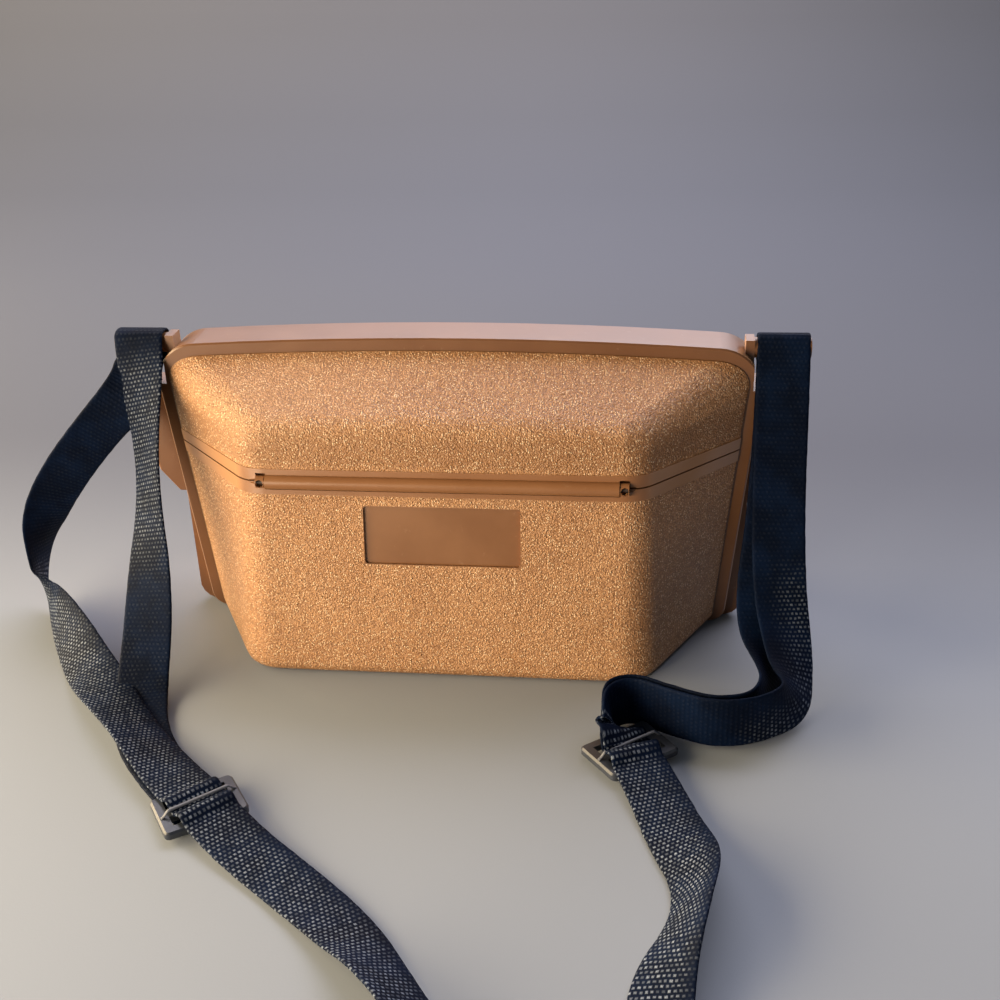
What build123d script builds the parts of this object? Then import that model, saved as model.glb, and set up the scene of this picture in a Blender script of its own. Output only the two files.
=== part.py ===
"""Moulded hard case for a camera, carried on a webbing shoulder strap.

Millimetres, Z up.  X runs along the case, the front faces -Y, and the
origin is on the ground under the middle of the case.
"""

import os
from math import atan2, ceil, cos, radians, sin, tan

from build123d import *

os.makedirs("parts", exist_ok=True)

# Case form
case_depth = 101.0  # front of the base to back of the base
rim_depth = 20.0  # the smooth raised band round the middle
crown_height = 123.0  # top of the arched band above the ground
crown_fall = 4.3  # how far the arch has dropped at its ends
base_half_width = 109.5  # band at the ground
crown_half_width = 121.5  # band where its sides meet the arch
rim_corner_radius = 17.0
rim_foot_radius = 7.0
band_bevel = 0.6
rim_step = 4.6  # the pillowed faces sit this far inside the band
wall = 3.0

# Front pillow
slope_angle = 27.0  # upper face, down from the level
front_depth_base = 50.5  # band's front face to the front of the base
front_depth_gap = 39.0  # the same at the parting of the lid
front_half_base = 78.0  # half width of the front face at the ground
front_half_gap = 75.5
front_corner_radius = 17.0
bend_radius = 13.4
inner_bevel = 3.0  # along each face of a hollow's bends
base_edge_radius = 5.0

# Rear pillow
rear_slope_angle = 17.0
rear_start = 6.0  # behind the band's front face
rear_half_width = 117.0
rear_half_back = 101.0
rear_depth_gap = 45.0  # middle of the case to the back at the lid's height
rear_corner_radius = 18.0
rear_foot_radius = 8.0

# Lid and hinge
parting_height = 79.0
parting_gap = 0.6
lid_rear_gap = 0.5
flange_height = 4.6  # smooth strip each side of the parting
flange_proud = 0.5
barrel_half_length = 67.0
barrel_radius = 2.7
barrel_clear = 0.35
axis_proud = 0.1  # hinge axis ahead of the flange
hinge_pin_radius = 1.1
pin_fit = 0.05
pin_ear_length = 3.2
relief_radius = 1.6  # notch at each end of the barrel, over its corners

# Lap between the two shells
lap_length = 6.0
lap_thickness = 1.8
lap_fit = 0.1

# Bare recess on the front
plate_half_width = 30.0
plate_height = 23.0
plate_middle = 58.5
plate_recess = 1.1
plate_corner = 1.2

# Strap lugs
lug_middle = 9.0  # behind the band's front face
lug_thickness = 8.0
lug_foot = 53.0
bar_drop = 5.5  # bar below the crown
slot_inner = 116.5
strap_width = 20.0
slot_side_clear = 1.0
slot_height = 10.5
bar_end = 0.4  # bar past the webbing's edge
lug_shelf = 4.0  # lug under the slot, short of the bar's end
inner_cheek = 3.4

# Latch behind the crown
latch_travel = 6.0
pocket_drop = 15.5  # pocket's floor below the crown
pocket_set = 2.5  # pocket behind the band
pocket_half = 12.5
pocket_end_clear = 0.5
bolt_half = 7.0
bolt_thick = 2.0
bolt_behind = 2.0  # the withdrawn tip behind the keeper
slide_fit = 0.1
knob_length = 8.0
knob_half = 8.0
knob_height = 3.4
knob_ridges = 3
ridge_depth = 0.7
stem_half = 3.0
guide_wall = 4.4
guide_plate = 2.0
keeper_set = 4.0  # keeper ahead of the band's front face
keeper_thick = 1.5
keeper_half = 11.0
keeper_land = 3.0  # metal below the keeper's window
keeper_fit = 0.4
keeper_flange = 8.0
keeper_seat = 0.1
screw_radius = 1.2
screw_head_radius = 2.1
screw_head = 1.2
screw_bite = 1.8
screw_fit = 0.05

# Lining
base_pad_thick = 8.0
pad_thick = 6.0
pad_clear = 0.3
pad_half_lid = 68.0
divider_thick = 8.0
divider_x = 52.0
divider_top = 72.0

# Webbing and its sliders
strap_thick = 1.4
wrap_clear = 0.3
strap_rest = 0.5  # under the webbing where it lies flat
slider_length = 29.0
slider_width = 21.0
slider_thick = 2.6
slider_bar = 3.6
slider_slot = 21.6
slider_corner = 2.0
slider_bevel = 0.7
slider_seat = 0.1

# Derived
rim_front = front_depth_base - case_depth / 2
rim_back = rim_front + rim_depth
rear_back = case_depth / 2
mould_top = crown_height + 6
arch_end = crown_height - crown_fall
axis_y = rim_front - front_depth_gap - flange_proud - axis_proud
front_lean = (front_depth_base - front_depth_gap) / parting_height
lug_y = rim_front + lug_middle
bar_radius = lug_thickness / 2
bar_height = crown_height - bar_drop
slot_outer = slot_inner + strap_width + 2 * slot_side_clear
strap_x = (slot_inner + slot_outer) / 2
pocket_floor = crown_height - pocket_drop
pocket_front = rim_back + pocket_set
pocket_back = pocket_front + knob_length + latch_travel + 2 * pocket_end_clear
pocket_under = pocket_floor - wall
knob_middle = pocket_back - pocket_end_clear - knob_length / 2
bolt_top = pocket_under - slide_fit
bolt_low = bolt_top - bolt_thick
guide_low = bolt_low - slide_fit - guide_plate
guide_front = pocket_front - wall + 1
keeper_back = rim_front - keeper_set
slope = tan(radians(slope_angle))
lap_inset = rim_step + wall + lap_fit
lap_floor = wall + lap_fit
pad_floor = wall + pad_clear
pad_top = pad_floor + base_pad_thick
wrap_radius = bar_radius + wrap_clear + strap_thick / 2
strap_low = strap_rest + strap_thick / 2
slider_low = strap_rest + strap_thick + slider_seat
strap_over = slider_low + slider_thick + slider_seat + strap_thick / 2


def lean(at_base, at_gap, height):
    """A size that changes evenly with height, from the base through the parting."""
    return at_base + (at_gap - at_base) * height / parting_height


def band_half(height):
    """Half width of the band's straight side at a height."""
    return base_half_width + (crown_half_width - base_half_width) * height / arch_end


def band_face(plane, inset, floor):
    """Outline of the band, inset from its sides and top and cut level at the floor."""
    top = arch_end - inset
    with BuildSketch(plane) as face:
        with BuildLine():
            Polyline(
                (-crown_half_width + inset, top),
                (-band_half(floor) + inset, floor),
                (band_half(floor) - inset, floor),
                (crown_half_width - inset, top),
            )
            ThreePointArc(
                (crown_half_width - inset, top),
                (0, crown_height - inset),
                (-crown_half_width + inset, top),
            )
        make_face()
        shoulders = face.vertices().filter_by(lambda v: v.Y > crown_height / 2)
        fillet(shoulders, rim_corner_radius - inset)
        feet = face.vertices().filter_by(lambda v: v.Y < floor + 0.01)
        fillet(feet, rim_foot_radius)
    return face.sketch


def arch_face(plane, drop):
    """A broad arched slab whose top is the crown, lowered by the drop."""
    reach = crown_half_width + 2 * wall
    edge = crown_height - drop - crown_fall * (reach / crown_half_width) ** 2
    with BuildSketch(plane) as face:
        with BuildLine():
            Polyline((-reach, edge), (-reach, -crown_height), (reach, -crown_height), (reach, edge))
            ThreePointArc((reach, edge), (0, crown_height - drop), (-reach, edge))
        make_face()
    return face.sketch


def plan_face(height, near_half, far_half, near_y, far_y, radius):
    """A level slice of a pillow: square at the band, rounded away from it."""
    with BuildSketch(Plane.XY.offset(height)) as face:
        with BuildLine():
            Polyline(
                (-near_half, near_y),
                (-far_half, far_y),
                (far_half, far_y),
                (near_half, near_y),
                close=True,
            )
        make_face()
        away = face.vertices().filter_by(lambda v: abs(v.Y - far_y) < 0.01)
        fillet(away, radius)
    return face.sketch


def bend_edges(mass, near_y):
    """The edges of a pillow's upper bend."""
    free = mass.edges().filter_by(lambda e: abs(e.center().Y - near_y) > 1)
    level = free.filter_by(lambda e: abs(e.tangent_at(0.5).Z) < 0.75)
    return level.filter_by(lambda e: e.center().Z > crown_height * 0.7)


def foot_edges(mass, near_y, low):
    """The edges round the underside of a pillow."""
    free = mass.edges().filter_by(lambda e: abs(e.center().Y - near_y) > 1)
    return free.filter_by(lambda e: abs(e.center().Z - low) < 0.01)


def rounded_mass(solid, near_y, inset, foot_radius):
    """A pillow with its upper bend rounded and its lower edge eased by three bevels."""
    first = foot_radius * (2 - 2**0.5)
    with BuildPart() as mass:
        add(solid)
        fillet(bend_edges(mass, near_y), bend_radius - inset)
        chamfer(foot_edges(mass, near_y, inset), first)
        eased = foot_edges(mass, near_y, inset) + foot_edges(mass, near_y, inset + first)
        chamfer(eased, 0.36 * first)
    return mass.part


def bevelled_mass(solid, near_y, inset, foot_bevel):
    """The hollow of a pillow, its edges cut off flat."""
    with BuildPart() as mass:
        add(solid)
        chamfer(bend_edges(mass, near_y), inner_bevel)
        if foot_bevel:
            chamfer(foot_edges(mass, near_y, inset), foot_bevel)
    return mass.part


def front_mass(inset):
    """The front pillow as one solid, or its hollow when inset by the wall."""
    with BuildPart() as mass:
        for height in (inset, mould_top):
            add(
                plan_face(
                    height,
                    band_half(height) - rim_step - inset,
                    lean(front_half_base, front_half_gap, height) - inset * 0.6,
                    rim_front,
                    rim_front - lean(front_depth_base, front_depth_gap, height) + inset,
                    front_corner_radius - inset,
                )
            )
        loft()
        extrude(
            arch_face(Plane.XZ.offset(-rim_front), rim_step + inset),
            amount=case_depth,
            dir=(0, -cos(radians(slope_angle)), -sin(radians(slope_angle))),
            mode=Mode.INTERSECT,
        )
    if inset > 0:
        return bevelled_mass(mass.part, rim_front, inset, 0)
    return rounded_mass(mass.part, rim_front, inset, base_edge_radius)


def rear_mass(inset):
    """The boxier rear pillow, or its hollow when inset by the wall."""
    near = rim_front + rear_start + inset
    rise = (rim_back - near) * tan(radians(rear_slope_angle))
    with BuildPart() as mass:
        for height in (inset, mould_top):
            add(
                plan_face(
                    height,
                    rear_half_width - inset,
                    rear_half_back - inset * 0.6,
                    near,
                    lean(rear_back, rear_depth_gap, height) - inset,
                    rear_corner_radius - inset,
                )
            )
        loft()
        extrude(
            arch_face(Plane.XZ.offset(-near), rim_step + inset - rise),
            amount=case_depth,
            dir=(0, cos(radians(rear_slope_angle)), -sin(radians(rear_slope_angle))),
            mode=Mode.INTERSECT,
        )
    if inset > 0:
        return bevelled_mass(mass.part, near, inset, inner_bevel)
    return rounded_mass(mass.part, near, inset, rear_foot_radius)


def lug_plate(side):
    """The ear that carries a strap: a plate with a rounded bar over a slot."""
    root = band_half(lug_foot) - rim_step / 2
    tip = slot_outer - slot_side_clear + bar_end
    top = bar_height + bar_radius
    window = bar_height - bar_radius - slot_height
    with BuildPart() as lug:
        with BuildSketch(Plane.XZ.offset(-(lug_y + bar_radius))):
            with BuildLine():
                Polyline(
                    (root, lug_foot),
                    (band_half(lug_foot) + 5.5, lug_foot),
                    (tip - 10.5, lug_foot + 9),
                    (tip - lug_shelf, window - 4),
                    (tip - lug_shelf, top),
                    (slot_inner - inner_cheek, top),
                    (crown_half_width - rim_corner_radius / 2, bar_height - bar_radius),
                    close=True,
                )
            make_face()
        extrude(amount=lug_thickness)
        rim = lug.edges().filter_by(lambda e: e.center().X > band_half(lug_foot) + 2)
        fillet(rim.filter_by(lambda e: e.center().Z < window and abs(e.center().Y - lug_y) > 1), 1.5)
        with Locations((strap_x, lug_y, (window + mould_top) / 2)):
            Box(slot_outer - slot_inner, 2 * lug_thickness, mould_top - window, mode=Mode.SUBTRACT)
        with Locations(Location(((slot_inner - 1 + tip) / 2, lug_y, bar_height), (0, 90, 0))):
            Cylinder(bar_radius, tip - slot_inner + 1)
        with Locations((slot_inner - 2, lug_y, top + bar_radius)):
            Box(8, 4 * lug_thickness, 2 * bar_radius, mode=Mode.SUBTRACT)
    if side < 0:
        return mirror(lug.part, about=Plane.YZ)
    return lug.part


def latch_pocket():
    """Thicker wall round the thumb slide's pocket, inside the rear skin."""
    with BuildPart() as pocket:
        with Locations((0, (pocket_front + pocket_back) / 2, pocket_under)):
            Box(
                2 * (pocket_half + wall),
                pocket_back - pocket_front + 2 * wall,
                case_depth,
                align=(Align.CENTER, Align.CENTER, Align.MIN),
            )
        add(rear_mass(wall / 2), mode=Mode.INTERSECT)
    return pocket.part


def guide_screw_points():
    """Where the guide's four screws stand."""
    inset = screw_head_radius + 0.4
    x = bolt_half + slide_fit + guide_wall / 2
    return [
        (side * x, y) for side in (-1, 1) for y in (guide_front + inset, pocket_back - inset)
    ]


def make_rear_shell():
    """Deep rear half with the band, the lugs and the latch pocket."""
    with BuildPart() as shell:
        extrude(band_face(Plane.XZ.offset(-rim_back), 0, 0), amount=rim_depth)
        edges = shell.edges().filter_by(lambda e: e.center().Y < rim_front + 0.01)
        chamfer(edges.filter_by(lambda e: e.center().Z > 1), band_bevel)
        add(rear_mass(0))
        hollow = band_face(Plane.XZ.offset(-(rim_back - wall)), rim_step + wall, wall)
        extrude(hollow, amount=rim_depth - wall + 1, mode=Mode.SUBTRACT)
        add(rear_mass(wall), mode=Mode.SUBTRACT)
        add(latch_pocket())
        with Locations((0, (pocket_front + pocket_back) / 2, pocket_floor)):
            Box(
                2 * pocket_half,
                pocket_back - pocket_front,
                case_depth / 3,
                align=(Align.CENTER, Align.CENTER, Align.MIN),
                mode=Mode.SUBTRACT,
            )
        slot_start = knob_middle - latch_travel - stem_half - slide_fit
        slot_end = knob_middle + stem_half + slide_fit
        with Locations((0, (slot_start + slot_end) / 2, pocket_floor)):
            Box(2 * (stem_half + slide_fit), slot_end - slot_start, 4 * wall, mode=Mode.SUBTRACT)
        for x, y in guide_screw_points():
            with Locations((x, y, pocket_under)):
                Cylinder(screw_radius + screw_fit, 2 * screw_bite, mode=Mode.SUBTRACT)
        for side in (-1, 1):
            add(lug_plate(side))
            with Locations((side * strap_x, lug_y, bar_height - bar_radius)):
                Box(
                    slot_outer - slot_inner,
                    rim_depth + 2,
                    slot_height,
                    align=(Align.CENTER, Align.CENTER, Align.MAX),
                    mode=Mode.SUBTRACT,
                )
    return shell.part


def hinge_round(radius, half_length):
    """A round bar along the hinge axis."""
    with BuildPart() as bar:
        with Locations(Location((0, axis_y, parting_height), (0, 90, 0))):
            Cylinder(radius, 2 * half_length)
    return bar.part


def flange_strip(low, high):
    """The smooth strip beside the parting, a little proud of the front."""
    with BuildPart() as strip:
        add(front_mass(-flange_proud))
        with Locations((0, rim_front, (low + high) / 2)):
            Box(3 * crown_half_width, 4 * case_depth, high - low, mode=Mode.INTERSECT)
        add(front_mass(wall), mode=Mode.SUBTRACT)
        with Locations((0, rim_front, (low + high) / 2)):
            Box(3 * crown_half_width, 2, high - low + 2, mode=Mode.SUBTRACT)
    return strip.part


def end_reliefs():
    """The space of the eight-sided notches at the ends of the barrel."""
    x = barrel_half_length + relief_radius + 0.4
    with BuildPart() as notches:
        for side in (-1, 1):
            with BuildSketch(Plane(origin=(side * x, axis_y + 0.6, parting_height), z_dir=(0, -1, 0))):
                RegularPolygon(relief_radius, 8)
            extrude(amount=3.2)
    return notches.part


def make_front_shell():
    """Lower front half, open at the top, with a lap that enters the band."""
    rim_z = parting_height - parting_gap / 2
    with BuildPart() as shell:
        add(front_mass(0))
        add(front_mass(wall), mode=Mode.SUBTRACT)
        add(flange_strip(rim_z - flange_height, rim_z))
        with Locations((0, 0, rim_z)):
            Box(
                3 * crown_half_width,
                4 * case_depth,
                case_depth,
                align=(Align.CENTER, Align.CENTER, Align.MIN),
                mode=Mode.SUBTRACT,
            )
        lap_end = Plane.XZ.offset(-(rim_front + lap_length))
        extrude(band_face(lap_end, lap_inset, lap_floor), amount=lap_length + 2)
        inner = band_face(lap_end, lap_inset + lap_thickness, lap_floor + lap_thickness)
        extrude(inner, amount=lap_length + 2, mode=Mode.SUBTRACT)
        with Locations((0, 0, rim_z)):
            Box(
                3 * crown_half_width,
                4 * case_depth,
                case_depth,
                align=(Align.CENTER, Align.CENTER, Align.MIN),
                mode=Mode.SUBTRACT,
            )
        add(hinge_round(barrel_radius - 0.3, barrel_half_length + barrel_clear + pin_ear_length))
        add(
            hinge_round(barrel_radius + barrel_clear, barrel_half_length + barrel_clear),
            mode=Mode.SUBTRACT,
        )
        add(end_reliefs(), mode=Mode.SUBTRACT)
        add(hinge_round(hinge_pin_radius, case_depth), mode=Mode.SUBTRACT)
        face = Plane(
            origin=(0, rim_front - front_depth_base + front_lean * plate_middle, plate_middle),
            x_dir=(1, 0, 0),
            z_dir=(0, -1, front_lean),
        )
        with BuildSketch(face.offset(-plate_recess)):
            RectangleRounded(2 * plate_half_width, plate_height, plate_corner)
        extrude(amount=2 * wall, mode=Mode.SUBTRACT)
    return shell.part


def make_lid():
    """Upper front half, which swings forward on its barrel."""
    low = parting_height + parting_gap / 2
    with BuildPart() as lid:
        add(front_mass(0))
        add(front_mass(wall), mode=Mode.SUBTRACT)
        add(flange_strip(low, low + flange_height))
        with Locations((0, 0, low)):
            Box(
                3 * crown_half_width,
                4 * case_depth,
                case_depth,
                align=(Align.CENTER, Align.CENTER, Align.MAX),
                mode=Mode.SUBTRACT,
            )
        with Locations((0, rim_front - lid_rear_gap, 0)):
            Box(
                3 * crown_half_width,
                case_depth,
                4 * crown_height,
                align=(Align.CENTER, Align.MIN, Align.CENTER),
                mode=Mode.SUBTRACT,
            )
        for side in (-1, 1):
            ear = pin_ear_length / 2 + barrel_clear
            with Locations((side * (barrel_half_length + ear), axis_y, low)):
                Box(2 * ear, 2 * barrel_radius + 1, 2 * barrel_radius + 0.6, mode=Mode.SUBTRACT)
        add(hinge_round(barrel_radius, barrel_half_length))
        add(end_reliefs(), mode=Mode.SUBTRACT)
        add(hinge_round(hinge_pin_radius + pin_fit, case_depth), mode=Mode.SUBTRACT)
        for plane in keeper_screw_planes():
            with Locations(plane):
                Cylinder(screw_radius + screw_fit, 2 * screw_bite, mode=Mode.SUBTRACT)
    return lid.part


def ceiling(y):
    """Height of the lid's inner face on the middle line."""
    return crown_height - rim_step - wall + (y - rim_front) * slope


def keeper_screw_planes():
    """Seats of the keeper's two screws, on the lid's inner face."""
    y = keeper_back - keeper_thick - keeper_flange / 2
    across = (0, -sin(radians(slope_angle)), cos(radians(slope_angle)))
    return [
        Plane(origin=(side * keeper_half / 2, y, ceiling(y)), x_dir=(1, 0, 0), z_dir=across)
        for side in (-1, 1)
    ]


def make_keeper():
    """Bent steel plate under the lid's top, with the window the bolt enters."""
    window_top = bolt_top + keeper_fit
    window_low = bolt_low - keeper_fit
    face = keeper_back - keeper_thick
    end = face - keeper_flange
    drop = keeper_seat + keeper_thick / cos(radians(slope_angle))
    with BuildPart() as plate:
        with BuildSketch(Plane.YZ):
            with BuildLine():
                Polyline(
                    (keeper_back, window_low - keeper_land),
                    (keeper_back, ceiling(keeper_back) - keeper_seat),
                    (end, ceiling(end) - keeper_seat),
                    (end, ceiling(end) - drop),
                    (face, ceiling(face) - drop),
                    (face, window_low - keeper_land),
                    close=True,
                )
            make_face()
        extrude(amount=keeper_half, both=True)
        with Locations((0, face, (window_low + window_top) / 2)):
            Box(
                2 * (bolt_half + keeper_fit),
                4 * keeper_thick,
                window_top - window_low,
                mode=Mode.SUBTRACT,
            )
        for plane in keeper_screw_planes():
            with Locations(plane):
                Cylinder(screw_radius + screw_fit, 4 * keeper_thick, mode=Mode.SUBTRACT)
    return plate.part


def make_screw(seat, grip):
    """A short screw driven into a face, its head standing off by the grip."""
    with BuildPart() as screw:
        with Locations(seat.offset(-grip)):
            Cylinder(
                screw_radius, grip + screw_bite - 0.2, align=(Align.CENTER, Align.CENTER, Align.MIN)
            )
            Cylinder(
                screw_head_radius, screw_head, align=(Align.CENTER, Align.CENTER, Align.MAX)
            )
    return screw.part


def make_bolt():
    """Flat steel bolt, withdrawn, with a chamfered tip."""
    tip = keeper_back + bolt_behind
    back = knob_middle + knob_length / 2
    with BuildPart() as bolt:
        with BuildSketch(Plane.XY.offset(bolt_low)):
            with Locations((0, (tip + back) / 2)):
                Rectangle(2 * bolt_half, back - tip)
        extrude(amount=bolt_thick)
        nose = bolt.edges().filter_by(lambda e: abs(e.center().Y - tip) < 0.01)
        chamfer(nose.filter_by(Axis.Z), 2)
        with Locations((0, knob_middle, bolt_low)):
            Box(
                2 * stem_half,
                2 * stem_half,
                pocket_floor + slide_fit - bolt_low,
                align=(Align.CENTER, Align.CENTER, Align.MIN),
            )
    return bolt.part


def make_knob():
    """Ridged thumb piece on the bolt's stem."""
    with BuildPart() as knob:
        with BuildSketch(Plane.XY.offset(pocket_floor + slide_fit)):
            with Locations((0, knob_middle)):
                RectangleRounded(2 * knob_half, knob_length, 1)
        extrude(amount=knob_height)
        top = pocket_floor + slide_fit + knob_height
        with Locations((0, knob_middle, top)):
            with GridLocations(0, knob_length / (knob_ridges + 1), 1, knob_ridges):
                Box(3 * knob_half, ridge_depth, 2 * ridge_depth, mode=Mode.SUBTRACT)
        chamfer(knob.faces().sort_by(Axis.X)[0].edges().sort_by(Axis.Z)[-1], 0.3)
    return knob.part


def make_guide():
    """Channel under the pocket in which the bolt slides."""
    half = bolt_half + slide_fit + guide_wall
    middle = (guide_front + pocket_back) / 2
    with BuildPart() as guide:
        with Locations((0, middle, guide_low)):
            Box(
                2 * half,
                pocket_back - guide_front,
                pocket_under - guide_low,
                align=(Align.CENTER, Align.CENTER, Align.MIN),
            )
        with Locations((0, middle, guide_low + guide_plate)):
            Box(
                2 * (bolt_half + slide_fit),
                case_depth,
                case_depth,
                align=(Align.CENTER, Align.CENTER, Align.MIN),
                mode=Mode.SUBTRACT,
            )
        fillet(guide.edges().filter_by(Axis.Z).filter_by(lambda e: abs(e.center().X) > half - 1), 1)
        for x, y in guide_screw_points():
            with Locations((x, y, guide_low)):
                Cylinder(screw_radius + screw_fit, 4 * guide_plate + 20, mode=Mode.SUBTRACT)
    return guide.part


def front_inner(height):
    """The front wall's inner face, less the lining's clearance."""
    return rim_front - lean(front_depth_base, front_depth_gap, height) + wall + pad_clear


def back_inner(height):
    """The rear wall's inner face, less the lining's clearance."""
    return lean(rear_back, rear_depth_gap, height) - wall - pad_clear


def make_base_pad():
    """Foam on the floor, grooved over the lap."""
    side = band_half(wall) - lap_inset - lap_thickness - pad_clear
    front_half = front_half_base - wall - pad_clear
    back_half = rear_half_back - wall - pad_clear
    with BuildPart() as pad:
        add(
            plan_face(
                pad_floor, side, front_half, rim_front, front_inner(pad_top), front_corner_radius
            )
        )
        add(plan_face(pad_floor, side, back_half, rim_front, back_inner(pad_top), rear_corner_radius))
        extrude(amount=base_pad_thick)
        chamfer(pad.faces().sort_by(Axis.Z)[0].edges(), 0.85 * rim_foot_radius)
        groove_front = rim_front - 2 - pad_clear
        groove_back = rim_front + lap_length + pad_clear
        with Locations((0, (groove_front + groove_back) / 2, 0)):
            Box(
                3 * crown_half_width,
                groove_back - groove_front,
                2 * (lap_floor + lap_thickness + pad_clear),
                mode=Mode.SUBTRACT,
            )
    return pad.part


def wall_pad(outer, inward, top, half):
    """Foam standing on the base pad against a leaning wall."""
    with BuildPart() as pad:
        with BuildSketch(Plane.YZ):
            with BuildLine():
                Polyline(
                    (outer(pad_top), pad_top),
                    (outer(pad_top) + inward * pad_thick, pad_top),
                    (outer(top) + inward * pad_thick, top),
                    (outer(top), top),
                    close=True,
                )
            make_face()
        extrude(amount=half, both=True)
        fillet(pad.edges().filter_by(Axis.Y, tolerance=15).group_by(Axis.Z)[-1], 4)
    return pad.part


def slope_slab(drop):
    """Everything under the front's sloping top, lowered by the drop."""
    with BuildPart() as slab:
        extrude(
            arch_face(Plane.XZ.offset(-rim_front), drop),
            amount=case_depth,
            dir=(0, -cos(radians(slope_angle)), -sin(radians(slope_angle))),
        )
    return slab.part


def make_lid_pad():
    """Foam under the lid's slope, cut away round the keeper."""
    start = rim_front - front_depth_gap + bend_radius - 2
    end = keeper_back - pad_clear
    with BuildPart() as pad:
        with Locations((0, (start + end) / 2, crown_height)):
            Box(2 * pad_half_lid, end - start, 2 * crown_height)
        add(slope_slab(rim_step + wall + pad_clear), mode=Mode.INTERSECT)
        add(slope_slab(rim_step + wall + pad_clear + pad_thick), mode=Mode.SUBTRACT)
        notch = keeper_thick + keeper_flange + 1
        with Locations((0, keeper_back - notch, crown_height)):
            Box(
                2 * (keeper_half + 1),
                2 * notch,
                crown_height,
                align=(Align.CENTER, Align.MIN, Align.CENTER),
                mode=Mode.SUBTRACT,
            )
    return pad.part


def make_divider():
    """Upright foam board between the front and back pads."""
    front = pad_thick + pad_clear
    with BuildPart() as board:
        with BuildSketch(Plane.YZ.offset(divider_x - divider_thick / 2)):
            with BuildLine():
                Polyline(
                    (front_inner(pad_top) + front, pad_top),
                    (back_inner(pad_top) - front, pad_top),
                    (back_inner(divider_top) - front, divider_top),
                    (front_inner(divider_top) + front, divider_top),
                    close=True,
                )
            make_face()
        extrude(amount=divider_thick)
        fillet(board.edges().filter_by(Axis.X).group_by(Axis.Z)[-1], 5)
    return board.part


def make_slider(x, y, heading):
    """Three-bar slider lying flat, its bars across the webbing's heading."""
    plane = Plane(origin=(x, y, slider_low), x_dir=(sin(heading), -cos(heading), 0), z_dir=(0, 0, 1))
    slot = (slider_width - 3 * slider_bar) / 2
    with BuildPart() as slider:
        with BuildSketch(plane):
            RectangleRounded(slider_length, slider_width, slider_corner)
            with GridLocations(0, slot + slider_bar, 1, 2):
                Rectangle(slider_slot, slot, mode=Mode.SUBTRACT)
        extrude(amount=slider_thick)
        chamfer(slider.faces().sort_by(Axis.Z)[-1].outer_wire().edges(), slider_bevel)
    return slider.part


def arc_radii(points, tight):
    """For each inner point, 0.45 of the shorter run over the tangent of half the turn."""
    radii = []
    for i in range(1, len(points) - 1):
        before = Vector(*points[i]) - Vector(*points[i - 1])
        after = Vector(*points[i + 1]) - Vector(*points[i])
        turn = radians(before.get_angle(after))
        radius = 0.45 * min(before.length, after.length) / tan(turn / 2)
        radii.append(tight.get(i, radius))
    return radii


def webbing(route, tight):
    """A flat band along straight runs joined by arcs, twisted from point to point."""
    points = [point for point, width in route]
    radii = arc_radii(points, tight)
    print("arc radii", [round(radius, 1) for radius in radii])
    with BuildLine() as path:
        FilletPolyline(*points, radius=radii)
    runs = path.wires()[0].order_edges()
    widths = [Vector(*width) for point, width in route]
    stops = [0.0]
    for i, run in enumerate(runs):
        stops.append(stops[-1] + run.length)
    marks = [0.0] + [(stops[i] + stops[i + 1]) / 2 for i in range(1, len(runs), 2)] + [stops[-1]]
    print("length", round(stops[-1], 1))
    rings = []
    for i, run in enumerate(runs):
        pieces = max(1, ceil(run.length / 9), 3 * (i % 2))
        for step in range(0 if i == 0 else 1, pieces + 1):
            along = run @ (step / pieces)
            heading = (run % (step / pieces)).normalized()
            place = stops[i] + run.length * step / pieces
            k = max(j for j in range(len(marks) - 1) if marks[j] <= place)
            share = min(1, (place - marks[k]) / (marks[k + 1] - marks[k]))
            width = widths[k] * (1 - share) + widths[k + 1] * share
            width = (width - heading * width.dot(heading)).normalized() * (strap_width / 2)
            thick = heading.cross(width).normalized() * (strap_thick / 2)
            corners = [
                along - width - thick,
                along + width - thick,
                along + width + thick,
                along - width + thick,
            ]
            lift = max(0, strap_rest / 2 - min(corner.Z for corner in corners))
            rings.append([corner + Vector(0, 0, lift) for corner in corners])
    faces = [Face(Wire.make_polygon(rings[0])), Face(Wire.make_polygon(rings[-1]))]
    for near, far in zip(rings, rings[1:]):
        for a in range(4):
            b = (a + 1) % 4
            faces.append(Face(Wire.make_polygon([near[a], near[b], far[b]])))
            faces.append(Face(Wire.make_polygon([near[a], far[b], far[a]])))
    return Solid(Shell(faces))


def beside(route, gap):
    """The same route, shifted to the side on which a second layer of webbing lies."""
    shifted = []
    for before, (point, width), after in zip(route, route[1:], route[2:]):
        heading = (Vector(*after[0]) - Vector(*before[0])).normalized()
        side = heading.cross(Vector(*width)).normalized() * gap
        shifted.append((tuple(Vector(*point) + side), width))
    return shifted


bar_top = bar_height + wrap_radius
bar_under = bar_height - wrap_radius - slider_seat
bar_rear = lug_y + wrap_radius + slider_seat
across = (1, 0, 0)
edgewise = (0, 0, -1)

left_slider_at = (-71, -137)
left_heading = atan2(-0.82, 0.57)
right_slider_at = (73, -95)
right_heading = atan2(0.78, -0.62)

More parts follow.
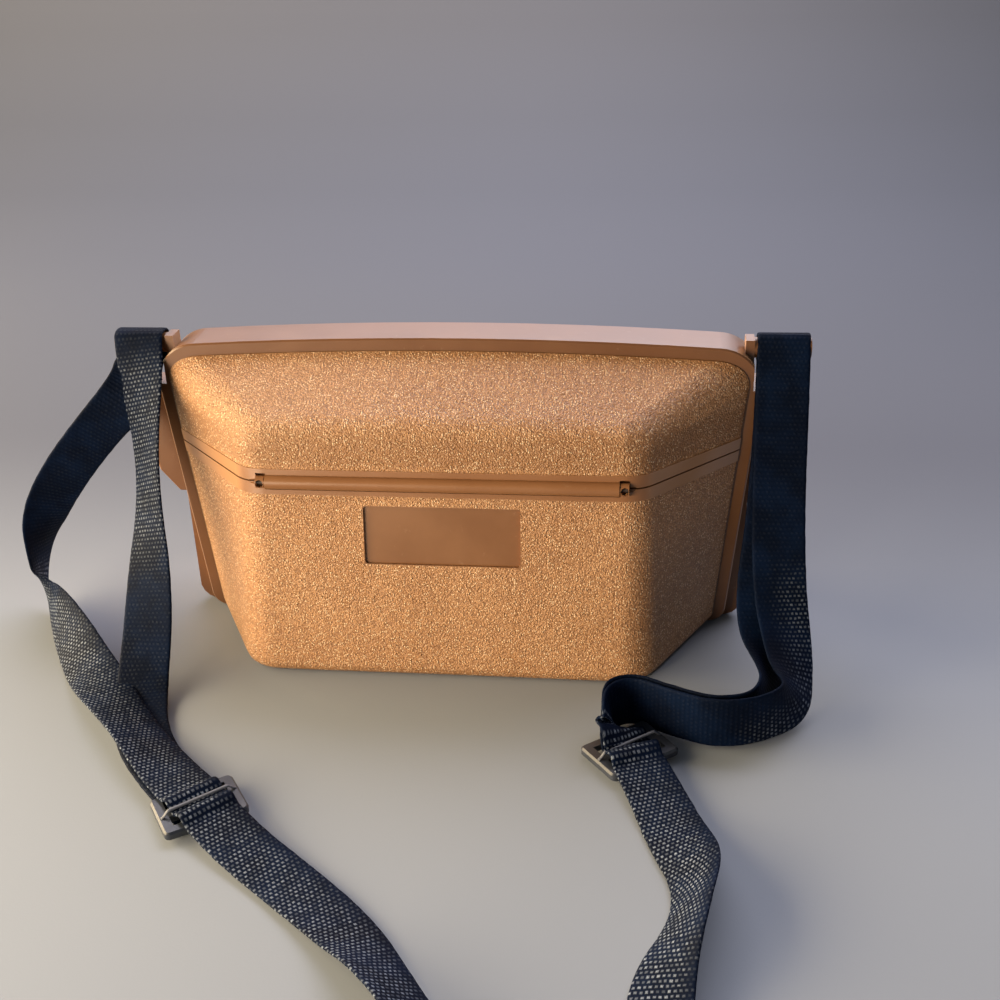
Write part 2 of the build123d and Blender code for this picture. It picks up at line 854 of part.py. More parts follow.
left_wrap = [
    ((-strap_x, lug_y, bar_top), across),
    ((-strap_x, bar_rear, bar_top), across),
    ((-strap_x, bar_rear, bar_under), across),
    ((-strap_x, lug_y - 6.5, bar_under), across),
]
left_fall = [
    ((-strap_x - 1.5, lug_y - 10, bar_height - 13.5), (0.93, 0.1, -0.35)),
    ((-strap_x - 8.5, lug_y - 14, bar_height - 22.5), (0.82, 0.05, -0.57)),
    ((-strap_x - 20, lug_y - 15, bar_height - 34), (0.78, 0.05, -0.62)),
    ((-163, -6, 66), (0.78, 0.05, -0.62)),
    ((-176.5, -4, 47), (0.8, 0.5, -0.4)),
    ((-183, -4, 28), (0.2, 0.97, -0.1)),
    ((-183.5, -8, 15), (-0.5, 0.82, 0.3)),
    ((-175, -17, 9), (-0.75, 0.1, 0.6)),
    ((-161, -35, 6.5), (-0.72, -0.4, 0.56)),
    ((-141.5, -60, 5.2), (-0.76, -0.55, 0.38)),
    ((-124.5, -80, 5.4), (-0.72, -0.55, 0.42)),
    ((-106, -101, 5.4), (-0.7, -0.62, 0.36)),
    ((-88, -121, 5), (-0.68, -0.72, 0.1)),
]
floor_loop = [
    ((*left_slider_at, strap_over), (-0.7, -0.71, 0)),
    ((-52, -154, 2.6), (-0.7, -0.71, 0)),
    ((-33, -168, strap_low), (-0.68, -0.73, 0)),
    ((-9.5, -188, 2.4), (-0.7, -0.7, 0.12)),
    ((7, -208, 4.5), (-0.62, -0.5, 0.55)),
    ((24, -230, 5.5), (-0.6, -0.5, 0.6)),
    ((44, -247, strap_low), (-0.4, -0.9, 0)),
    ((70, -247, strap_low), (0.4, -0.9, 0)),
    ((84, -229, strap_low), (0.92, -0.4, 0)),
    ((84, -203, 3.4), (0.92, 0, 0.35)),
    ((93, -178, 7), (0.58, -0.1, 0.8)),
    ((95.5, -159, 5.5), (0.75, 0.1, 0.65)),
    ((90, -141, 2.6), (0.93, 0.25, 0.25)),
    ((83, -119, 2.6), (0.9, 0.4, 0)),
    ((*right_slider_at, strap_over), (0.78, 0.62, 0)),
]
right_rise = [
    ((63, -84, strap_width / 2 + strap_low), (0.1, 0, -1)),
    ((72, -74, strap_width / 2 + strap_low), edgewise),
    ((88, -83, strap_width / 2 + strap_low), edgewise),
    ((104, -89, strap_width / 2 + strap_low), edgewise),
    ((121, -84, strap_width / 2 + strap_low), edgewise),
    ((133, -73, 12), (0.5, 0.2, -0.85)),
    ((131, -58, 19), (0.9, 0.1, -0.45)),
    ((126.2, -32, 44), across),
]
right_top = [
    ((strap_x, lug_y - 0.7 * wrap_radius, bar_top), across),
    ((strap_x, lug_y, bar_top), across),
]
left_tail_route = [
    ((-strap_x, lug_y, bar_top), across),
    ((-strap_x, lug_y - 0.7 * wrap_radius, bar_top), across),
    ((-120.5, -22, 73), (0.55, -0.8, 0.2)),
    ((-117, -50, 27), (1, -0.05, 0)),
    ((-117, -68, 2.8), (0.99, 0.1, 0)),
    ((-108, -96, strap_low), (0.85, 0.5, 0)),
    ((-90, -119, strap_low), (0.8, 0.6, 0)),
    ((*left_slider_at, strap_low), (0.78, 0.62, 0)),
]
second_layer = beside([floor_loop[-1]] + right_rise[:-3], strap_thick + 1.2)
right_tail_route = [
    ((strap_x, lug_y, bar_top), across),
    ((strap_x, bar_rear, bar_top), across),
    ((strap_x, bar_rear, bar_under), across),
    ((strap_x, lug_y - 5.5, bar_under), across),
    ((125.5, -19, 62), across),
    ((120, -42, 30), across),
    ((126.5, -62, 15), (0.7, 0.1, -0.7)),
    ((119, -80.5, strap_width / 2 + strap_low), edgewise),
    *reversed(second_layer),
    ((*right_slider_at, strap_low), (0.78, 0.62, 0)),
]
wraps = {1: wrap_radius, 2: wrap_radius, 3: 2.0}

with BuildPart() as rear_shell:
    add(make_rear_shell())
rear_shell.part.label = "rear_shell"
export_step(rear_shell.part, "parts/rear_shell.step")

with BuildPart() as front_shell:
    add(make_front_shell())
front_shell.part.label = "front_shell"
export_step(front_shell.part, "parts/front_shell.step")

with BuildPart() as lid:
    add(make_lid())
lid.part.label = "lid"
export_step(lid.part, "parts/lid.step")

with BuildPart() as hinge_pin:
    add(hinge_round(hinge_pin_radius, barrel_half_length + barrel_clear + pin_ear_length))
hinge_pin.part.label = "hinge_pin"
export_step(hinge_pin.part, "parts/hinge_pin.step")

with BuildPart() as keeper:
    add(make_keeper())
keeper.part.label = "keeper"
export_step(keeper.part, "parts/keeper.step")

flange_grip = keeper_seat + keeper_thick
for number, seat in enumerate(keeper_screw_planes(), 1):
    with BuildPart() as keeper_screw:
        add(make_screw(seat, flange_grip))
    keeper_screw.part.label = f"keeper_screw_{number}"
    export_step(keeper_screw.part, f"parts/keeper_screw_{number}.step")

with BuildPart() as latch_bolt:
    add(make_bolt())
latch_bolt.part.label = "latch_bolt"
export_step(latch_bolt.part, "parts/latch_bolt.step")

with BuildPart() as latch_knob:
    add(make_knob())
latch_knob.part.label = "latch_knob"
export_step(latch_knob.part, "parts/latch_knob.step")

with BuildPart() as latch_guide:
    add(make_guide())
latch_guide.part.label = "latch_guide"
export_step(latch_guide.part, "parts/latch_guide.step")

for number, (x, y) in enumerate(guide_screw_points(), 1):
    with BuildPart() as guide_screw:
        add(make_screw(Plane.XY.offset(pocket_under).move(Location((x, y, 0))), pocket_under - guide_low))
    guide_screw.part.label = f"guide_screw_{number}"
    export_step(guide_screw.part, f"parts/guide_screw_{number}.step")

with BuildPart() as base_pad:
    add(make_base_pad())
base_pad.part.label = "base_pad"
export_step(base_pad.part, "parts/base_pad.step")

with BuildPart() as back_pad:
    half = rear_half_back - rear_corner_radius - 2
    add(wall_pad(back_inner, -1, guide_low - screw_head - 2, half))
back_pad.part.label = "back_pad"
export_step(back_pad.part, "parts/back_pad.step")

with BuildPart() as front_pad:
    half = front_half_gap - front_corner_radius - 2
    add(wall_pad(front_inner, 1, parting_height - flange_height - 1, half))
front_pad.part.label = "front_pad"
export_step(front_pad.part, "parts/front_pad.step")

with BuildPart() as lid_pad:
    add(make_lid_pad())
lid_pad.part.label = "lid_pad"
export_step(lid_pad.part, "parts/lid_pad.step")

with BuildPart() as divider:
    add(make_divider())
divider.part.label = "divider"
export_step(divider.part, "parts/divider.step")

with BuildPart() as left_slider:
    add(make_slider(*left_slider_at, left_heading))
left_slider.part.label = "left_slider"
export_step(left_slider.part, "parts/left_slider.step")

with BuildPart() as right_slider:
    add(make_slider(*right_slider_at, right_heading))
right_slider.part.label = "right_slider"
export_step(right_slider.part, "parts/right_slider.step")

with BuildPart() as strap_main:
    main_route = left_wrap + left_fall + floor_loop + right_rise + right_top
    add(webbing(main_route, {**wraps, len(main_route) - 2: wrap_radius}))
strap_main.part.label = "strap_main"
export_step(strap_main.part, "parts/strap_main.step")

with BuildPart() as strap_left_tail:
    add(webbing(left_tail_route, {1: wrap_radius}))
strap_left_tail.part.label = "strap_left_tail"
export_step(strap_left_tail.part, "parts/strap_left_tail.step")

with BuildPart() as strap_right_tail:
    add(webbing(right_tail_route, wraps))
strap_right_tail.part.label = "strap_right_tail"
export_step(strap_right_tail.part, "parts/strap_right_tail.step")
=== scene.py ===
"""Looks of the moulded camera case and its webbing strap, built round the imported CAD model."""

from math import cos, pi, radians, sin

import bmesh
import bpy
from mathutils import Matrix, Vector, noise


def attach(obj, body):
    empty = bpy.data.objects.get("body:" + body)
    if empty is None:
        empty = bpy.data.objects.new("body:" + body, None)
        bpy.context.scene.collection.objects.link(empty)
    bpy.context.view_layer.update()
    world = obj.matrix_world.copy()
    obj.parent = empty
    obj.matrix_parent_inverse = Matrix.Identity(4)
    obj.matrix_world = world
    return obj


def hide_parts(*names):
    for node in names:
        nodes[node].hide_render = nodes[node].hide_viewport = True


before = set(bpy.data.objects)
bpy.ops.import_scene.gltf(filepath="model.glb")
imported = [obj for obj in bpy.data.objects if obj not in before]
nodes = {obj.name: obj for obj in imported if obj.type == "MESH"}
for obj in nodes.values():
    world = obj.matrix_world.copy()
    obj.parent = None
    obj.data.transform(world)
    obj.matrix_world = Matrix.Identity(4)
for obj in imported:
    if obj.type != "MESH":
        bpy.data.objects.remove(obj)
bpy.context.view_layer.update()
scene = bpy.context.scene
scene.view_settings.view_transform = "Standard"


# Camera
CAMERA_PLACE = (0.07883, -0.47252, 0.28654)
CAMERA_YAW, CAMERA_TILT, CAMERA_ROLL = -7.41, 26.0, 1.94  # degrees
CAMERA_LENS = 46.8


def make_camera():
    """The camera at the photograph's viewing angle."""
    yaw, tilt, roll = radians(CAMERA_YAW), radians(CAMERA_TILT), radians(CAMERA_ROLL)
    ahead = Vector((sin(yaw) * cos(tilt), cos(yaw) * cos(tilt), -sin(tilt)))
    across = Vector((cos(yaw), -sin(yaw), 0))
    below = ahead.cross(across)
    side = cos(roll) * across + sin(roll) * below
    down = cos(roll) * below - sin(roll) * across
    data = bpy.data.cameras.new("camera")
    data.sensor_width = 36
    data.lens = CAMERA_LENS
    data.clip_start, data.clip_end = 0.01, 20
    camera = bpy.data.objects.new("camera", data)
    scene.collection.objects.link(camera)
    turn = Matrix((side, -down, -ahead)).transposed()
    camera.matrix_world = Matrix.Translation(CAMERA_PLACE) @ turn.to_4x4()
    scene.camera = camera


make_camera()


# Node helpers
class Nodes:
    """A material's node tree, with short calls for the nodes that the materials share."""

    def __init__(self, name):
        self.material = bpy.data.materials.new(name)
        self.material.use_nodes = True
        self.tree = self.material.node_tree
        self.shader = self.tree.nodes["Principled BSDF"]

    def add(self, kind, **values):
        node = self.tree.nodes.new(kind)
        for key, value in values.items():
            setattr(node, key, value)
        return node

    def link(self, source, target):
        self.tree.links.new(source, target)

    def put(self, target, value):
        """Link the value to the socket if it is a socket itself, else set it there."""
        if isinstance(value, bpy.types.NodeSocket):
            self.link(value, target)
        else:
            target.default_value = value

    def maths(self, operation, a, b=0.0, c=0.0, clamp=False):
        node = self.add("ShaderNodeMath", operation=operation, use_clamp=clamp)
        for target, value in zip(node.inputs, (a, b, c)):
            self.put(target, value)
        return node.outputs[0]

    def vector_maths(self, operation, a, b=(0, 0, 0)):
        node = self.add("ShaderNodeVectorMath", operation=operation)
        self.put(node.inputs[0], a)
        self.put(node.inputs[1], b)
        return node

    def product(self, *values):
        """The values multiplied together."""
        whole = values[0]
        for value in values[1:]:
            whole = self.maths("MULTIPLY", whole, value)
        return whole

    def swing(self, value, middle, amount):
        """How far a value is above its middle, times an amount."""
        return self.maths("MULTIPLY", self.maths("SUBTRACT", value, middle), amount)

    def off(self, value, middle):
        """The distance of a value from its middle."""
        return self.maths("ABSOLUTE", self.maths("SUBTRACT", value, middle))

    def parts(self, vector):
        """The three parts of a vector."""
        node = self.add("ShaderNodeSeparateXYZ")
        self.link(vector, node.inputs[0])
        return node.outputs

    def span(self, value, low, high, to_low=0.0, to_high=1.0, smooth=True):
        """The value's range from low to high, mapped to another range."""
        node = self.add("ShaderNodeMapRange")
        node.interpolation_type = "SMOOTHSTEP" if smooth else "LINEAR"
        for target, put in zip(node.inputs, (value, low, high, to_low, to_high)):
            self.put(target, put)
        return node.outputs[0]

    def mix(self, share, a, b):
        """Colour a, with this share of colour b."""
        node = self.add("ShaderNodeMix", data_type="RGBA")
        self.put(node.inputs[0], share)
        for target, value in ((node.inputs[6], a), (node.inputs[7], b)):
            self.put(target, (*value, 1) if isinstance(value, tuple) and len(value) == 3 else value)
        return node.outputs[2]

    def noise(self, where, scale, detail, roughness):
        node = self.add("ShaderNodeTexNoise")
        self.put(node.inputs["Vector"], where)
        node.inputs["Scale"].default_value = scale
        node.inputs["Detail"].default_value = detail
        node.inputs["Roughness"].default_value = roughness
        return node.outputs["Fac"]

    def cells(self, where, scale):
        node = self.add("ShaderNodeTexVoronoi")
        self.put(node.inputs["Vector"], where)
        node.inputs["Scale"].default_value = scale
        return node

    def bump(self, height, depth, strength, under=None):
        """The normal over a relief, depth in metres; under is the normal that it lies on."""
        node = self.add("ShaderNodeBump")
        self.put(node.inputs["Strength"], strength)
        node.inputs["Distance"].default_value = depth
        self.link(height, node.inputs["Height"])
        if under is not None:
            self.link(under, node.inputs["Normal"])
        return node.outputs["Normal"]

    def finish(self, colour, roughness, normal):
        """The material, with these on its shader."""
        self.link(colour, self.shader.inputs["Base Color"])
        self.put(self.shader.inputs["Roughness"], roughness)
        self.link(normal, self.shader.inputs["Normal"])
        return self.material


def set_material(obj, material):
    """The material in each of the object's slots."""
    for place in obj.material_slots:
        place.material = material
    if not obj.material_slots:
        obj.data.materials.append(material)


def object_from(name, mesh):
    """The mesh built in bmesh, as an object in the scene."""
    data = bpy.data.meshes.new(name)
    mesh.to_mesh(data)
    mesh.free()
    made = bpy.data.objects.new(name, data)
    scene.collection.objects.link(made)
    return made


def ease(value, low, high):
    """A smooth step from 0 at low to 1 at high."""
    share = min(max((value - low) / (high - low), 0.0), 1.0)
    return share * share * (3 - 2 * share)


# Webbing, in metres: a route is its control points, each with the direction across the band there
STRAP_WIDTH = 0.020
STRAP_THICK = 0.00134
LAYER_GAP = 0.0026  # between the middles of two layers that lie on each other
RIB_PITCH = 0.00172
RIB_HEIGHT = 0.00012
EDGE_THREAD = 0.0001
FRAY, FRAY_RATE = 0.00012, 260  # how far the edge wanders, and how fast along the band
RINGS_TO_A_RIB = 4
RINGS_TO_A_POINT = 12
FLOOR_CLEAR = 0.0003
ROLL_REACH, ROLL_HEIGHT = 0.0094, 0.0024
LEFT_SLIDER, RIGHT_SLIDER = (-0.071, -0.137), (0.073, -0.095)
STRAP_OVER = 0.0054  # the webbing's middle where it goes over a slider
PROFILE = (0, 0.18, 0.36, 0.54, 0.72, 0.86, 0.935, 0.975, 1.0)  # shares of the half width

left_wrap = [
    ((-0.1275, 0.009, 0.1225), (1, 0, 0)),
    ((-0.1275, 0.0141, 0.1225), (1, 0, 0)),
    ((-0.1275, 0.0141, 0.1124), (1, 0, 0)),
    ((-0.1275, 0.0025, 0.1124), (1, 0, 0)),
]
left_fall = [
    ((-0.129, -0.001, 0.104), (0.93, 0.1, -0.35)),
    ((-0.136, -0.005, 0.095), (0.8, 0.2, -0.57)),
    ((-0.1475, -0.006, 0.0835), (0.73, 0.38, -0.56)),
    ((-0.163, -0.006, 0.066), (0.73, 0.4, -0.55)),
    ((-0.1765, -0.004, 0.047), (0.75, 0.6, -0.35)),
    ((-0.183, -0.004, 0.028), (0.05, 0.98, -0.2)),
    ((-0.1835, -0.008, 0.015), (-0.2, 0.8, -0.6)),
    ((-0.175, -0.017, 0.009), (-0.3, 0.1, -0.95)),
    ((-0.161, -0.035, 0.0065), (-0.55, -0.25, -0.78)),
    ((-0.1415, -0.060, 0.0052), (-0.75, -0.5, -0.4)),
    ((-0.1245, -0.080, 0.0054), (-0.76, -0.6, 0.12)),
    ((-0.106, -0.101, 0.0054), (-0.7, -0.62, 0.36)),
    ((-0.088, -0.121, 0.005), (-0.68, -0.72, 0.1)),
]
floor_loop = [
    ((-0.071, -0.137, 0.0054), (-0.7, -0.71, 0)),
    ((-0.052, -0.154, 0.0026), (-0.7, -0.71, 0)),
    ((-0.033, -0.168, 0.0012), (-0.68, -0.73, 0)),
    ((-0.0095, -0.188, 0.0024), (-0.7, -0.7, 0.12)),
    ((0.007, -0.208, 0.0045), (-0.62, -0.5, 0.55)),
    ((0.024, -0.230, 0.0055), (-0.6, -0.5, 0.6)),
    ((0.044, -0.247, 0.0012), (-0.4, -0.9, 0)),
    ((0.070, -0.247, 0.0012), (0.4, -0.9, 0)),
    ((0.084, -0.229, 0.0012), (0.92, -0.4, 0)),
    ((0.084, -0.203, 0.0034), (0.92, 0, 0.35)),
    ((0.093, -0.178, 0.007), (0.58, -0.1, 0.8)),
    ((0.0955, -0.159, 0.0055), (0.75, 0.1, 0.65)),
    ((0.090, -0.141, 0.0026), (0.93, 0.25, 0.25)),
    ((0.083, -0.119, 0.0026), (0.9, 0.4, 0)),
    ((0.073, -0.095, 0.0054), (0.78, 0.62, 0)),
]
right_rise = [
    ((0.063, -0.084, 0.0112), (0.1, 0, -1)),
    ((0.072, -0.074, 0.0112), (0, 0, -1)),
    ((0.088, -0.083, 0.0112), (0, 0, -1)),
    ((0.104, -0.089, 0.0112), (0, 0, -1)),
    ((0.121, -0.084, 0.0112), (0, 0, -1)),
    ((0.133, -0.073, 0.012), (0.5, 0.2, -0.85)),
    ((0.131, -0.058, 0.019), (0.9, 0.1, -0.45)),
    ((0.1262, -0.032, 0.044), (1, 0, 0)),
]
right_top = [((0.1275, 0.0055, 0.1225), (1, 0, 0)), ((0.1275, 0.009, 0.1225), (1, 0, 0))]
main_route = left_wrap + left_fall + floor_loop + right_rise + right_top

left_tail_route = [
    ((-0.1275, 0.009, 0.1225), (1, 0, 0)),
    ((-0.1275, 0.0055, 0.1225), (1, 0, 0)),
    ((-0.1273, 0.0038, 0.1194), (1, 0, 0)),
    ((-0.1205, -0.022, 0.073), (0.55, -0.8, 0.2)),
    ((-0.117, -0.050, 0.027), (1, -0.05, 0)),
    ((-0.117, -0.068, 0.0028), (0.99, 0.1, 0)),
    ((-0.108, -0.096, 0.0012), (0.85, 0.5, 0)),
    ((-0.090, -0.119, 0.0012), (0.8, 0.6, 0)),
    ((-0.071, -0.137, 0.0012), (0.78, 0.62, 0)),
]


def beside(route, gap):
    """The same route, moved off the webbing's face by the gap."""
    moved = []
    for i, (place, width) in enumerate(route):
        before = Vector(route[max(i - 1, 0)][0])
        after = Vector(route[min(i + 1, len(route) - 1)][0])
        heading = (after - before).normalized()
        moved.append((tuple(Vector(place) + heading.cross(Vector(width)).normalized() * gap), width))
    return moved


second_layer = beside(right_rise[:-3], LAYER_GAP)
right_tail_route = [
    ((0.1275, 0.009, 0.1225), (1, 0, 0)),
    ((0.1275, 0.0141, 0.1225), (1, 0, 0)),
    ((0.1275, 0.0141, 0.1124), (1, 0, 0)),
    ((0.1275, 0.0035, 0.1124), (1, 0, 0)),
    ((0.1255, -0.019, 0.062), (1, 0, 0)),
    ((0.120, -0.042, 0.030), (1, 0, 0)),
    ((0.1265, -0.062, 0.015), (0.7, 0.1, -0.7)),
    ((0.119, -0.0805, 0.0112), (0, 0, -1)),
    *reversed(second_layer[:-1]),
    ((0.073, -0.095, 0.0012), (0.78, 0.62, 0)),
]


def nurbs_line(points):
    """The points that Blender gives for a smooth spline with these control points."""
    data = bpy.data.curves.new("route", "CURVE")
    data.dimensions = "3D"
    data.resolution_u = 16
    spline = data.splines.new("NURBS")
    spline.points.add(len(points) - 1)
    for point, place in zip(spline.points, points):
        point.co = (*place, 1)
    spline.order_u = 3
    spline.use_endpoint_u = True
    holder = bpy.data.objects.new("route", data)
    mesh = bpy.data.meshes.new_from_object(holder)
    line = [v.co.copy() for v in mesh.vertices]
    bpy.data.meshes.remove(mesh)
    bpy.data.objects.remove(holder)
    bpy.data.curves.remove(data)
    return line


def even_steps(line, marks, step):
    """The line and what goes with each of its points, at equal steps along it."""
    run, lengths = 0.0, [0.0]
    for a, b in zip(line, line[1:]):
        run += (b - a).length
        lengths.append(run)
    count = max(2, round(run / step))
    out, i = [], 0
    for k in range(count + 1):
        s = run * k / count
        while i < len(line) - 2 and lengths[i + 1] < s:
            i += 1
        share = (s - lengths[i]) / max(lengths[i + 1] - lengths[i], 1e-9)
        share = min(max(share, 0), 1)
        out.append((s, line[i].lerp(line[i + 1], share), marks[i].lerp(marks[i + 1], share)))
    return out


def rolled(rings):
    """The webbing over a slider: it is pulled up in a roll on each side of the middle bar."""
    spots = [Vector((*place, STRAP_OVER)) for place in (LEFT_SLIDER, RIGHT_SLIDER)]
    middles = [min(rings, key=lambda ring: (ring[1] - spot).length)[0] for spot in spots]
    out = []
    for s, point, width in rings:
        off = min(abs(s - middle) for middle in middles)
        lift = ROLL_HEIGHT * sin(pi * off / ROLL_REACH) ** 2 if off < ROLL_REACH else 0.0
        out.append((s, point + Vector((0, 0, lift)), width))
    return out


def pale_threads_where_lit(name, place, u):
    """How far the pale threads show at a place: painted shade, they are hidden where the webbing lies in
    shade.
    """
    # the right tail lies in shade: its pale threads are painted out
    if name == "webbing_right_tail":
        return 0.02
    if name == "webbing_left_tail":  # from above the fold at the floor to below the lug
        return 0.06 + 0.6 * ease(place.z, 0.034, 0.06) * ease(place.z, 0.118, 0.108)
    if place.x < 0.02 or place.y < -0.15 or place.z < 0.0095:  # all of it up to the right slider
        inner = -u if place.x > 0.05 else u
        return (0.03 + 0.97 * ease(place.z, 0.026, 0.014)) * (0.2 + 0.8 * ease(inner, -0.85, -0.3))
    # the rise at the right lies in shade, painted shade, except at the bend beside the case
    corner = ease(place.x, 0.108, 0.124) * ease(place.z, 0.05, 0.03)
    return 0.02 + 0.6 * corner * ease(u, -0.6, 0.6)


def make_webbing(name, route, phase):
    """A woven band along the route: its ribs are part of the mesh, and its UV map runs in metres.

    The map called pale holds how far the pale threads show, which is painted shade: they are hidden where
    the webbing lies in shade.
    """
    half = STRAP_WIDTH / 2
    line = nurbs_line([place for place, _ in route])
    edge = nurbs_line([Vector(place) + Vector(width).normalized() * half for place, width in route])
    rings = even_steps(line, [b - a for a, b in zip(line, edge)], RIB_PITCH / RINGS_TO_A_RIB)
    if name == "webbing_main":
        rings = rolled(rings)
    across = [-u for u in reversed(PROFILE[1:])] + list(PROFILE)
    mesh = bmesh.new()
    uv = mesh.loops.layers.uv.new("weave")
    pale = mesh.loops.layers.uv.new("pale")
    places = []
    for i, (s, point, width) in enumerate(rings):
        ahead = (rings[min(i + 1, len(rings) - 1)][1] - rings[max(i - 1, 0)][1]).normalized()
        width = (width - ahead * width.dot(ahead)).normalized()
        normal = ahead.cross(width)
        rib = abs(sin(pi * (s + phase) / RIB_PITCH)) ** 0.7
        fray = noise.noise((s * FRAY_RATE, phase, 3.1)) * FRAY
        lift = max(0.0, FLOOR_CLEAR - point.z + abs(width.z) * half + abs(normal.z) * STRAP_THICK / 2)
        point = point + Vector((0, 0, lift))
        ring = []
        for face in (1, -1):
            row = across if face > 0 else list(reversed(across[1:-1]))
            for u in row:
                rounding = 1.0 if abs(u) < 0.9 else max(0.0, 1 - ((abs(u) - 0.9) / 0.1) ** 2) ** 0.5
                edge_thread = EDGE_THREAD if 0.8 < abs(u) < 0.99 else 0.0
                height = STRAP_THICK / 2 - RIB_HEIGHT * (1 - rib) + edge_thread * (1 - rib)
                height *= rounding
                reach = half * u + (fray if abs(u) > 0.95 else 0) * (1 if u > 0 else -1)
                vertex = mesh.verts.new(point + width * reach + normal * height * face)
                ring.append((vertex, u * half, pale_threads_where_lit(name, point, u)))
        places.append((s, ring))
    for (s0, a), (s1, b) in zip(places, places[1:]):
        for k in range(len(a)):
            m = (k + 1) % len(a)
            face = mesh.faces.new((a[k][0], a[m][0], b[m][0], b[k][0]))
            face.smooth = True
            for loop, along, corner in zip(face.loops, (s0, s0, s1, s1), (a[k], a[m], b[m], b[k])):
                loop[uv].uv = (corner[1], along + phase)
                loop[pale].uv = (corner[2], 0)
    for s, ring in (places[0], places[-1]):
        face = mesh.faces.new([corner[0] for corner in ring])
        for loop in face.loops:
            loop[uv].uv = (0, s)
    bmesh.ops.recalc_face_normals(mesh, faces=mesh.faces)
    path = [point for _, point, _ in rings[::RINGS_TO_A_POINT]] + [rings[-1][1]]
    return object_from(name, mesh), rings[-1][0], path


NAVY = ((0.0007, 0.0036, 0.0135), (0.0016, 0.0078, 0.028))
# pale thread, and a painted highlight where it lies on the rib crests
PALE_THREAD_AND_HIGHLIGHT = (0.36, 0.42, 0.51)
LINT = (0.14, 0.16, 0.2)


def webbing_material():
    """Navy ribs with floats of a pale thread across them, in staggered rows: pale thread, and a painted
    highlight on the rib crests, hidden by painted shade where the webbing lies in shade.
    """
    n = Nodes("navy_webbing")
    uv = n.add("ShaderNodeUVMap", uv_map="weave").outputs[0]
    wobble = n.add("ShaderNodeTexNoise")
    n.link(uv, wobble.inputs["Vector"])
    wobble.inputs["Scale"].default_value = 420
    centred = n.vector_maths("SUBTRACT", wobble.outputs["Color"], (0.5, 0.5, 0.5))
    shift = n.vector_maths("SCALE", centred.outputs[0])
    shift.inputs["Scale"].default_value = 0.0008
    place = n.vector_maths("ADD", uv, shift.outputs[0]).outputs[0]
    threads = n.add("ShaderNodeTexBrick", offset=0.5, offset_frequency=2)
    n.link(place, threads.inputs["Vector"])
    for key, value in (
        ("Color1", (1, 1, 1, 1)), ("Color2", (0.2, 0.2, 0.2, 1)), ("Mortar", (0, 0, 0, 1)), ("Scale", 1),
        ("Mortar Size", 0.0006), ("Mortar Smooth", 0.6), ("Brick Width", 0.0017), ("Row Height", RIB_PITCH),
    ):
        threads.inputs[key].default_value = value
    floats = n.add("ShaderNodeRGBToBW")
    n.link(threads.outputs["Color"], floats.inputs[0])
    floats = floats.outputs[0]
    # the pale floats lie on the rib crests: pale thread, partly a painted highlight there
    crest = n.maths("ABSOLUTE", n.maths("SINE", n.maths("MULTIPLY", n.parts(place)[1], pi / RIB_PITCH)))
    crest = n.maths("POWER", crest, 1.5)
    lint = n.noise(uv, 5200, 3, 0.7)
    worn = n.noise(uv, 60, 3, 0.6)
    # shown thins the pale floats and the lint where the webbing lies in shade: painted shade
    shown = n.parts(n.add("ShaderNodeUVMap", uv_map="pale").outputs[0])[0]
    lit = n.product(floats, crest, n.span(lint, 0.3, 0.62), shown)
    colour = n.mix(lit, n.mix(n.span(worn, 0.35, 0.7), *NAVY), PALE_THREAD_AND_HIGHLIGHT)
    fuzz = n.product(n.span(lint, 0.66, 0.74), n.maths("MULTIPLY_ADD", shown, 0.1, 0.02))
    colour = n.mix(fuzz, colour, LINT)
    height = n.maths("ADD", n.product(floats, 0.6), n.product(lint, 0.4))
    normal = n.bump(height, 0.00016, 0.9)
    n.shader.inputs["Specular IOR Level"].default_value = 0.07
    return n.finish(colour, n.span(lint, 0, 1, 0.5, 0.78, smooth=False), normal)


webbing = webbing_material()
for name, route, node, phase, riders in (
    ("webbing_main", main_route, "strap_main", 0.0, ["left_slider", "right_slider"]),
    ("webbing_left_tail", left_tail_route, "strap_left_tail", 0.0006, []),
    ("webbing_right_tail", right_tail_route, "strap_right_tail", 0.0011, []),
):
    band, length, path = make_webbing(name, route, phase)
    band.data.materials.append(webbing)
    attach(band, "case")
    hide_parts(node)


# Shell, in metres on the closed case as it stands
BAND_BACK = 0.0207
PARTING = 0.079  # height of the lid's parting
FLANGE_HALF = 0.0049  # smooth strip each side of the parting
RECESS_MIDDLE, RECESS_HALF_X, RECESS_HALF_Z = 0.0585, 0.0302, 0.0117
HOLLOW_MIDDLE = (0, 0.004, 0.058)
LAP_SEAM = 0.0062

MOULDING = ((0.50, 0.25, 0.104), (0.57, 0.298, 0.132))
POLISHED = ((0.19, 0.082, 0.03), (0.23, 0.104, 0.04))
# a lighter copy of the smooth colour for side-facing faces: painted light
POLISHED_FLANK_LIT = (0.5, 0.27, 0.125)
# the band's front-facing face: painted shade
BAND_FACE_SHADE = (0.09, 0.034, 0.011)
STRIP = (0.31, 0.14, 0.056)
# darker in the grain's hollows: painted shade
GRAIN_HOLLOW_SHADE = (0.17, 0.066, 0.02)
# lighter on the grain's tips: painted highlight
GRAIN_TIP_HIGHLIGHT = (0.95, 0.72, 0.5)
# the bend below the top slope: painted shade
BEND_SHADE = (0.22, 0.09, 0.022)
# random specks: bright ones are painted glints, dark ones painted shade
SPECK_GLINT, SPECK_SHADE = (1.0, 0.78, 0.52), (0.2, 0.08, 0.024)
# the seams on the flanks: painted shade
SEAM_SHADE = (0.05, 0.018, 0.006)
SCUFF = (0.7, 0.5, 0.34)


